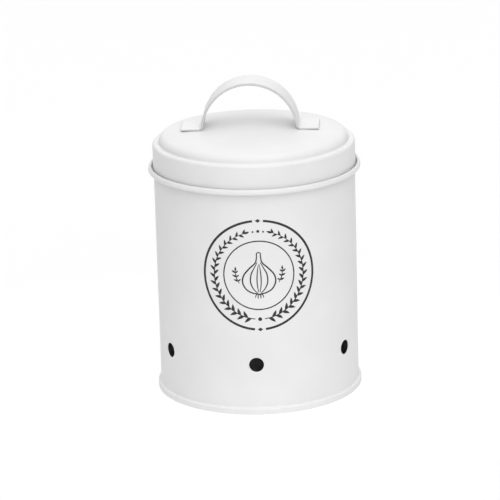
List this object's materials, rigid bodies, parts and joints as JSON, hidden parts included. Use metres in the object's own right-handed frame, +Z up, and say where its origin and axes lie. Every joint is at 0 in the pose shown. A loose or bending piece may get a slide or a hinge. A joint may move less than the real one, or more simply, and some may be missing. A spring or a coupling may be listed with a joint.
{
  "type": "garlic keeper",
  "caption": "Round lidded kitchen canister with vent holes near the foot, a folded rim and a lift-off domed lid that carries a bent strap handle.",
  "frame": {"origin": "centre of the foot ring, on the plane the canister stands on", "axes": "+Z up along the canister's axis; the handle's arch lies along X; one vent hole faces -Y, the front"},
  "size_m": [0.137, 0.137, 0.2032],
  "materials": {
    "coated_sheet": "satin powder coat",
    "coated_strip": "satin powder coat"
  },
  "bodies": {
    "canister": {"body_wall": "coated_sheet", "base_disc": "coated_sheet"},
    "lid": {"lid_shell": "coated_sheet", "handle_strap": "coated_strip"}
  },
  "joints": [
    {"name": "lid_lift", "type": "slide", "parent": "canister", "child": "lid", "axis": [0, 0, 1], "range_m": [0, 0.06]}
  ]
}
